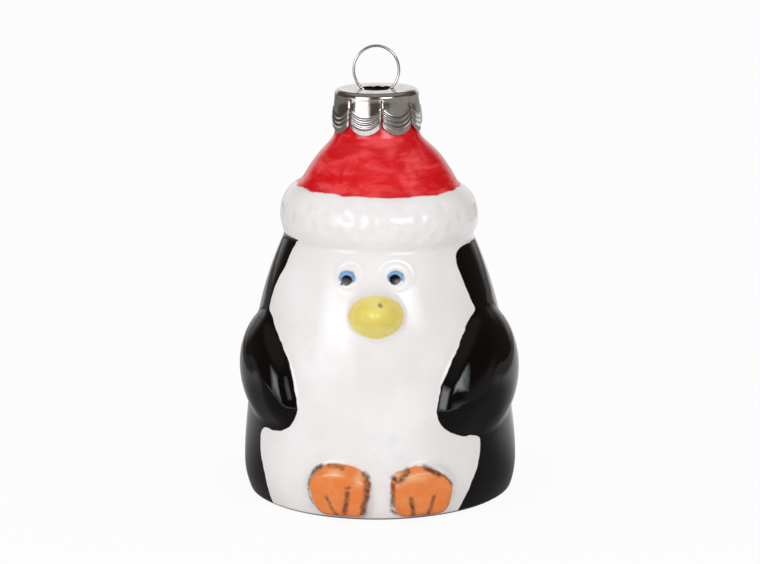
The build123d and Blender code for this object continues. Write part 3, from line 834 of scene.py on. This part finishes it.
    def mesh(self):
        under, side, above = self.rings()
        rows = under + side + above
        count = len(self.turns)
        points = np.concatenate(rows)
        poles = np.array(((0, 0, 0), (0, 0, rows[-1][0][2])))
        low_pole, high_pole = len(points), len(points) + 1
        points = np.concatenate((points, poles)) * MM
        column = np.arange(count)
        beside = (column + 1) % count
        faces = []
        for i in range(len(rows) - 1):
            low, high = i * count, (i + 1) * count
            quads = np.column_stack((low + column, low + beside, high + beside, high + column))
            faces.extend(quads.tolist())
        faces.extend([low_pole, b, a] for a, b in zip(column.tolist(), beside.tolist()))
        top = (len(rows) - 1) * count
        faces.extend([top + a, top + b, high_pole] for a, b in zip(column.tolist(), beside.tolist()))
        mesh = bpy.data.meshes.new("glazed_figure")
        mesh.from_pydata(points.tolist(), [], faces)
        mesh.shade_smooth()
        # Marks the inside of the neck, which the glaze paints dark brown as shade.
        inside = np.zeros(len(points))
        inside[(len(under) + len(side) + 2) * count:] = 1
        inside[low_pole] = 0
        values = {"inside": inside}
        for name, field in self.fields.items():
            below = np.repeat(field[:1], len(under), axis=0).ravel()
            beyond = np.repeat(field[-1:], len(above), axis=0).ravel()
            at_poles = (field[0, 0], field[-1, 0])
            values[name] = np.concatenate((below, field.ravel(), beyond, at_poles))
        for name, at_points in values.items():
            attribute = mesh.attributes.new(name, "FLOAT", "POINT")
            attribute.data.foreach_set("value", at_points.astype(np.float32))
        return mesh


def glazed_figure(material):
    """The fired figure in one skin: torso, hat, fur, flippers, feet, beak and eyes under one glaze."""
    skin = Skin()
    skin.work_the_clay()
    skin.glaze_over()
    skin.paint()
    skin.shape_by_hand()
    piece = bpy.data.objects.new("glazed_figure", skin.mesh())
    bpy.context.scene.collection.objects.link(piece)
    piece.data.materials.append(material)
    return piece


def cap_tab():
    """One tab of the cap with its share of the top, as a thin sheet, in the middle of the front."""
    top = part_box("crown_cap")[1].z / MM
    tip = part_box("crown_cap")[0].z / MM
    half_turn = math.pi / TAB_COUNT
    half_tab = (CAP_RADIUS + CAP_FLARE) * math.sin(half_turn)
    scallop_radius = (half_tab**2 + SCALLOP**2) / (2 * SCALLOP)
    skirt_top = top - CAP_SHOULDER
    across = np.sin(np.linspace(-0.5, 0.5, TAB_COLUMNS) * math.pi)
    edge = tip + scallop_radius - np.sqrt(scallop_radius**2 - (across * half_tab) ** 2)
    ridge_steps = np.linspace(RIDGE_ZONE, TAB_EDGE_ROWS[0], RIDGE_ROWS)
    ridge_steps = np.concatenate((ridge_steps, TAB_EDGE_ROWS[1:]))

    def skirt_radius(height):
        share = np.minimum(1.0, (skirt_top - height) / (CAP_FLARE_DEPTH - CAP_SHOULDER))
        return CAP_RADIUS + CAP_FLARE * (1 - np.cos(math.pi * share)) / 2

    outer, inner = [], []
    slit_half = SLIT_WIDTH / 2 / CAP_RADIUS

    def row(radius, height, in_by, down_by):
        height = np.broadcast_to(height, across.shape)
        slit = smoothstep(top - SLIT_DEPTH + SLIT_EASE, top - SLIT_DEPTH - SLIT_EASE, height)
        near_side = np.clip((abs(across) - EDGE_ROLL_FROM) / (1 - EDGE_ROLL_FROM), 0, 1)
        roll = EDGE_ROLL * slit * near_side**2
        lower = smoothstep(top - SLIT_DEPTH, top - CAP_FLARE_DEPTH, height)
        slit *= SLIT_TOP_SHARE + (1 - SLIT_TOP_SHARE) * lower
        turn = across * (half_turn - slit_half * slit)
        for sheet, less, down in ((outer, 0.0, 0.0), (inner, in_by, down_by)):
            r = radius - roll - less
            sheet.append(np.column_stack((r * np.sin(turn), -r * np.cos(turn), height - down)))

    plate = np.linspace(PLATE_FROM, CAP_RADIUS - CAP_SHOULDER, TAB_ROWS)
    for radius in np.concatenate(((CAP_HOLE, CAP_HOLE + HOLE_EDGE), plate)):
        row(radius, top, 0.0, SHEET)
    for angle in np.linspace(0.15, 1.0, TAB_ROWS) * math.pi / 2:
        out, up = math.sin(angle), math.cos(angle)
        radius = CAP_RADIUS - CAP_SHOULDER + CAP_SHOULDER * out
        row(radius, skirt_top + CAP_SHOULDER * up, SHEET * out, SHEET * up)
    for share in np.linspace(0.1, 0.9, TAB_ROWS):
        height = skirt_top + (edge + RIDGE_ZONE - skirt_top) * share
        row(skirt_radius(height), height, SHEET, 0.0)
    for step in ridge_steps:
        height = edge + step
        rise = sum(RIDGE_RISE * math.exp(-(((step - ridge) / RIDGE_WIDTH) ** 2)) for ridge in RIDGES)
        row(skirt_radius(height) + rise, height, SHEET, 0.0)

    rows, columns = len(outer), len(across)
    points = np.concatenate(outer + inner) * MM
    back = rows * columns
    faces = []
    for i in range(rows - 1):
        for j in range(columns - 1):
            a, b = i * columns + j, (i + 1) * columns + j
            faces.append((b, b + 1, a + 1, a))
            faces.append((back + a, back + a + 1, back + b + 1, back + b))
        if outer[i + 1][0][2] < top - SLIT_DEPTH:
            for j, flip in ((0, False), (columns - 1, True)):
                a, b = i * columns + j, (i + 1) * columns + j
                side = (a, back + a, back + b, b)
                faces.append(side[::-1] if flip else side)
    for j in range(columns - 1):
        hole, low = j, (rows - 1) * columns + j
        faces.append((hole, hole + 1, back + hole + 1, back + hole))
        faces.append((low + 1, low, back + low, back + low + 1))
    mesh = bpy.data.meshes.new("cap_tab")
    mesh.from_pydata(points.tolist(), [], faces)
    return bpy.data.objects.new("cap_tab", mesh)


def node_tree(name, inputs):
    """A geometry node tree with named inputs, and the graph that fills it."""
    tree = bpy.data.node_groups.new(name, "GeometryNodeTree")
    tree.interface.new_socket(name="Geometry", in_out="INPUT", socket_type="NodeSocketGeometry")
    for label, kind in inputs:
        tree.interface.new_socket(name=label, in_out="INPUT", socket_type=f"NodeSocket{kind}")
    tree.interface.new_socket(name="Geometry", in_out="OUTPUT", socket_type="NodeSocketGeometry")
    graph = Graph(tree)
    return tree, graph, graph.add("NodeGroupInput").outputs, graph.add("NodeGroupOutput").inputs


def grown(name, tree, data, values):
    """A plain mesh piece from an object that this geometry node tree works on."""
    source = bpy.data.objects.new(name + "_source", data)
    bpy.context.scene.collection.objects.link(source)
    modifier = source.modifiers.new("grow", "NODES")
    modifier.node_group = tree
    for item in tree.interface.items_tree:
        if item.in_out == "INPUT" and item.name in values:
            modifier[item.identifier] = values[item.name]
    evaluated = source.evaluated_get(bpy.context.evaluated_depsgraph_get())
    mesh = bpy.data.meshes.new_from_object(evaluated)
    mesh.name = name
    bpy.data.objects.remove(source)
    piece = bpy.data.objects.new(name, mesh)
    bpy.context.scene.collection.objects.link(piece)
    return piece


def ring_of_tabs():
    """Tabs set round the axis, welded along their sides and a little uneven."""
    inputs = [
        ("Tab", "Object"),
        ("Count", "Int"),
        ("First Turn", "Float"),
        ("Uneven", "Float"),
        ("Finish", "Material"),
    ]
    tree, graph, given, made = node_tree("ring of tabs", inputs)
    tab = graph.add("GeometryNodeObjectInfo", {"Object": given["Tab"]}).outputs["Geometry"]
    points = graph.add("GeometryNodePoints", {"Count": given["Count"]}).outputs[0]
    index = graph.add("GeometryNodeInputIndex").outputs[0]
    step = graph.math("DIVIDE", 2 * math.pi, given["Count"])
    turn = graph.math("MULTIPLY_ADD", index, step, given["First Turn"])
    around = graph.add("ShaderNodeCombineXYZ", {2: turn}).outputs[0]
    placed = graph.add(
        "GeometryNodeInstanceOnPoints", {"Points": points, "Instance": tab, "Rotation": around}
    ).outputs[0]
    joined = graph.add("GeometryNodeRealizeInstances", {"Geometry": placed}).outputs[0]
    welded = graph.add("GeometryNodeMergeByDistance", {"Geometry": joined, "Distance": WELD * MM}).outputs[0]
    wave = graph.add("ShaderNodeTexNoise", {"Scale": CAP_WAVES, "Detail": 1.0}).outputs[1]
    middle = (0.5, 0.5, 0.5)
    centred = graph.add("ShaderNodeVectorMath", {0: wave, 1: middle}, operation="SUBTRACT").outputs[0]
    offset = graph.add("ShaderNodeVectorMath", {0: centred, "Scale": given["Uneven"]}, operation="SCALE")
    bent = graph.add("GeometryNodeSetPosition", {"Geometry": welded, "Offset": offset.outputs[0]}).outputs[0]
    smooth = graph.add("GeometryNodeSetShadeSmooth", {"Geometry": bent}).outputs[0]
    finished = graph.add("GeometryNodeSetMaterial", {"Geometry": smooth, "Material": given["Finish"]})
    graph.feed(made["Geometry"], finished.outputs[0])
    return tree


def crown_cap(material):
    tab = cap_tab()
    bpy.context.scene.collection.objects.link(tab)
    values = {
        "Tab": tab,
        "Count": TAB_COUNT,
        "First Turn": math.radians(FIRST_TAB),
        "Uneven": CAP_UNEVEN * MM,
        "Finish": material,
    }
    piece = grown("stamped_cap", ring_of_tabs(), bpy.data.meshes.new("cap_seed"), values)
    bpy.data.objects.remove(tab)
    return piece


def hanger_path():
    """The line of the hanger's wire: one leg up, round the loop and down the other leg."""
    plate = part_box("crown_cap")[1].z / MM - SHEET / 2
    pinch = CAP_HOLE - WIRE / 2 - LOOP_CLEARANCE
    dip = math.acos(pinch / LOOP_HALF_WIDTH)
    middle = plate + LOOP_HALF_HEIGHT * math.sin(dip)
    angles = np.linspace(math.pi / 2, -dip, 60)
    loop = np.column_stack((LOOP_HALF_WIDTH * np.cos(angles), middle + LOOP_HALF_HEIGHT * np.sin(angles)))
    heading = math.atan2(-LOOP_HALF_HEIGHT * math.cos(dip), -LOOP_HALF_WIDTH * math.sin(dip))
    splay = math.radians(LEG_SPLAY) - math.pi / 2
    centre = loop[-1] + LEG_BEND * np.array((-math.sin(heading), math.cos(heading)))
    swing = np.linspace(heading, splay, 16)[1:]
    bend = centre + LEG_BEND * np.column_stack((np.sin(swing), -np.cos(swing)))
    foot = bend[-1] + LEG_LENGTH * np.array((math.cos(splay), math.sin(splay)))
    half = np.concatenate((loop, bend, [foot]))
    mirrored = half[:0:-1] * (-1, 1)
    return np.concatenate((mirrored, half)) * MM


def drawn_wire():
    """Round wire along a curve."""
    tree, graph, given, made = node_tree("drawn wire", [("Radius", "Float"), ("Finish", "Material")])
    section = graph.add(
        "GeometryNodeCurvePrimitiveCircle", {"Resolution": 20, "Radius": given["Radius"]}
    ).outputs[0]
    swept = graph.add(
        "GeometryNodeCurveToMesh", {"Curve": given["Geometry"], "Profile Curve": section, "Fill Caps": True}
    ).outputs[0]
    joined = graph.add("GeometryNodeRealizeInstances", {"Geometry": swept}).outputs[0]
    smooth = graph.add("GeometryNodeSetShadeSmooth", {"Geometry": joined}).outputs[0]
    finished = graph.add("GeometryNodeSetMaterial", {"Geometry": smooth, "Material": given["Finish"]})
    graph.feed(made["Geometry"], finished.outputs[0])
    return tree


def hanger(material):
    path = hanger_path()
    curve = bpy.data.curves.new("hanger_line", "CURVE")
    curve.dimensions = "3D"
    spline = curve.splines.new("POLY")
    spline.points.add(len(path) - 1)
    for point, (across, up) in zip(spline.points, path):
        point.co = (across, 0, up, 1)
    return grown("hanger_wire", drawn_wire(), curve, {"Radius": WIRE / 2 * MM, "Finish": material})


def away(turn, elevation, distance):
    """A point at this turn, elevation and distance, in metres."""
    turn, elevation = math.radians(turn), math.radians(elevation)
    flat = math.cos(elevation)
    return Vector((math.sin(turn) * flat, -math.cos(turn) * flat, math.sin(elevation))) * distance * MM


def softbox(turn, elevation, width, height, brightness):
    """A rectangular lamp that faces the middle of the figure and fades towards its edges."""
    middle = (cad_low + cad_high) / 2
    for size, share in SOFTBOX_STEPS:
        place = middle + away(turn, elevation, SOFTBOX_DISTANCE + SOFTBOX_DEPTH * size)
        lamp = bpy.data.lights.new("softbox", "AREA")
        lamp.shape = "RECTANGLE"
        lamp.size, lamp.size_y = size * width * MM, size * height * MM
        lamp.color = SOFTBOX_COLOUR
        lamp.energy = brightness * share * math.pi * lamp.size * lamp.size_y
        holder = bpy.data.objects.new(lamp.name, lamp)
        holder.location = place
        holder.rotation_euler = (middle - place).to_track_quat("-Z", "Y").to_euler()
        holder.visible_camera = False
        bpy.context.scene.collection.objects.link(holder)


def seen_share(graph):
    """What the camera sees directly or through glass, and what shows in reflections, as 0 or 1."""
    path = graph.add("ShaderNodeLightPath").outputs
    return graph.math("MAXIMUM", path["Is Camera Ray"], path["Is Transmission Ray"]), path["Is Glossy Ray"]


def white_floor():
    """A pale floor, white to the camera but for the figure's shadow, and uneven in reflections."""
    reach = FLOOR_REACH * cad_high.z
    corners = ((-reach, -reach, 0), (reach, -reach, 0), (reach, reach, 0), (-reach, reach, 0))
    mesh = bpy.data.meshes.new("floor")
    mesh.from_pydata(corners, [], [(0, 1, 2, 3)])
    floor = bpy.data.objects.new("floor", mesh)
    bpy.context.scene.collection.objects.link(floor)
    material = bpy.data.materials.new("pale floor")
    material.use_nodes = True
    graph = Graph(material.node_tree)
    seen, glossy = seen_share(graph)
    share = graph.math("MAXIMUM", graph.math("MULTIPLY", seen, FLOOR_WHITE), glossy)
    pale = graph.add("ShaderNodeBsdfDiffuse", {"Color": rgb(0.86, 0.855, 0.85)})
    place = graph.add("ShaderNodeSeparateXYZ", {0: graph.place()}).outputs
    near = graph.ramp(place["Y"], *FLOOR_LIT_NEAR)
    lit = graph.math("MULTIPLY", near, graph.ramp(place["Y"], *FLOOR_LIT_FAR))
    front = graph.mix(lit, rgb(0.18, 0.17, 0.165), rgb(0.95, 0.95, 0.95))
    beside = graph.mix(graph.ramp(place["X"], *FLOOR_RIGHT), front, rgb(0.28, 0.265, 0.255))
    aside = graph.ramp(graph.math("ABSOLUTE", place["X"]), *FLOOR_BEHIND_ASIDE)
    behind = graph.math("MULTIPLY", graph.ramp(place["Y"], *FLOOR_BEHIND), aside)
    to_right = graph.ramp(place["X"], *BACKDROP_RIGHT)
    backdrop = graph.mix(to_right, rgb(0.62, 0.62, 0.62), rgb(0.95, 0.95, 0.95))
    reflected = graph.mix(behind, beside, backdrop)
    shown = graph.mix(glossy, rgb(1, 1, 1), reflected)
    glow = graph.add("ShaderNodeEmission", {"Color": shown, "Strength": 1.0})
    both = graph.add("ShaderNodeMixShader", {0: share, 1: pale.outputs[0], 2: glow.outputs[0]})
    graph.add("ShaderNodeOutputMaterial", {"Surface": both.outputs[0]})
    mesh.materials.append(material)


def surroundings():
    """A white backdrop to the camera and in reflections from behind, with a dim room in front."""
    world = bpy.data.worlds.new("studio")
    world.use_nodes = True
    bpy.context.scene.world = world
    graph = Graph(world.node_tree)
    seen, glossy = seen_share(graph)
    way = graph.add("ShaderNodeTexCoord").outputs["Generated"]
    parts = graph.add("ShaderNodeSeparateXYZ", {0: way}).outputs
    behind = graph.math("MULTIPLY", graph.ramp(parts["Y"], 0.68, 0.95), graph.ramp(parts["Z"], 0.55, 0.15))
    wall = graph.math("MULTIPLY", graph.ramp(parts["X"], 0.5, 0.75), graph.ramp(parts["Z"], 0.3, 0.1))
    wall = graph.math("MULTIPLY", wall, graph.ramp(parts["Y"], 0.3, -0.1))
    ceiling = graph.ramp(parts["Z"], 0.52, 0.82)
    room = graph.mix(ceiling, rgb(0.075, 0.056, 0.045), rgb(0.25, 0.23, 0.21))
    room = graph.mix(wall, room, rgb(0.25, 0.235, 0.225))
    room = graph.mix(behind, room, rgb(0.85, 0.85, 0.85))
    above = graph.ramp(parts["Z"], -0.2, 1.0)
    soft = graph.mix(above, rgb(0.48, 0.48, 0.485), rgb(0.86, 0.86, 0.865))
    fill = graph.mix(glossy, soft, room)
    colour = graph.mix(seen, fill, rgb(1, 1, 1))
    back = graph.add("ShaderNodeBackground", {"Color": colour, "Strength": 1.0})
    graph.add("ShaderNodeOutputWorld", {"Surface": back.outputs[0]})


def camera():
    data = bpy.data.cameras.new("camera")
    data.sensor_width = SENSOR
    data.lens = LENS_PIXELS / PHOTO_WIDTH * SENSOR
    data.shift_x = AXIS_OFFSET_PIXELS / PHOTO_WIDTH
    holder = bpy.data.objects.new("camera", data)
    tilt = Matrix.Rotation(math.radians(90 - CAMERA_TILT), 4, "X")
    roll = Matrix.Rotation(math.radians(CAMERA_ROLL), 4, "Z")
    holder.matrix_world = Matrix.Translation(Vector(CAMERA_PLACE) * MM) @ tilt @ roll
    bpy.context.scene.collection.objects.link(holder)
    bpy.context.scene.camera = holder


def dress():
    """Makes every piece, hides the solids it takes the place of, and hangs it on what it moves with."""
    marks = handling()
    glaze = painted_glaze(painted_edge(), brush_strokes(), specks())
    nickel = plated("nickel plate", marks, rgb(0.80, 0.785, 0.76), rgb(0.62, 0.585, 0.55), 0.07, 0.1)
    bright = plated("bright wire", marks, rgb(0.82, 0.81, 0.79), rgb(0.60, 0.57, 0.54), 0.09, 0.12)

    figure = glazed_figure(glaze)
    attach(figure, "figure")
    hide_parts(*CERAMIC)

    cap = crown_cap(nickel)
    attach(cap, "cap")
    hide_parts("crown_cap")

    wire = hanger(bright)
    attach(wire, "hanger")
    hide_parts("wire_hanger")


dress()
white_floor()
surroundings()
for setting in SOFTBOXES:
    softbox(*setting)
camera()
bpy.context.scene.view_settings.view_transform = "Standard"
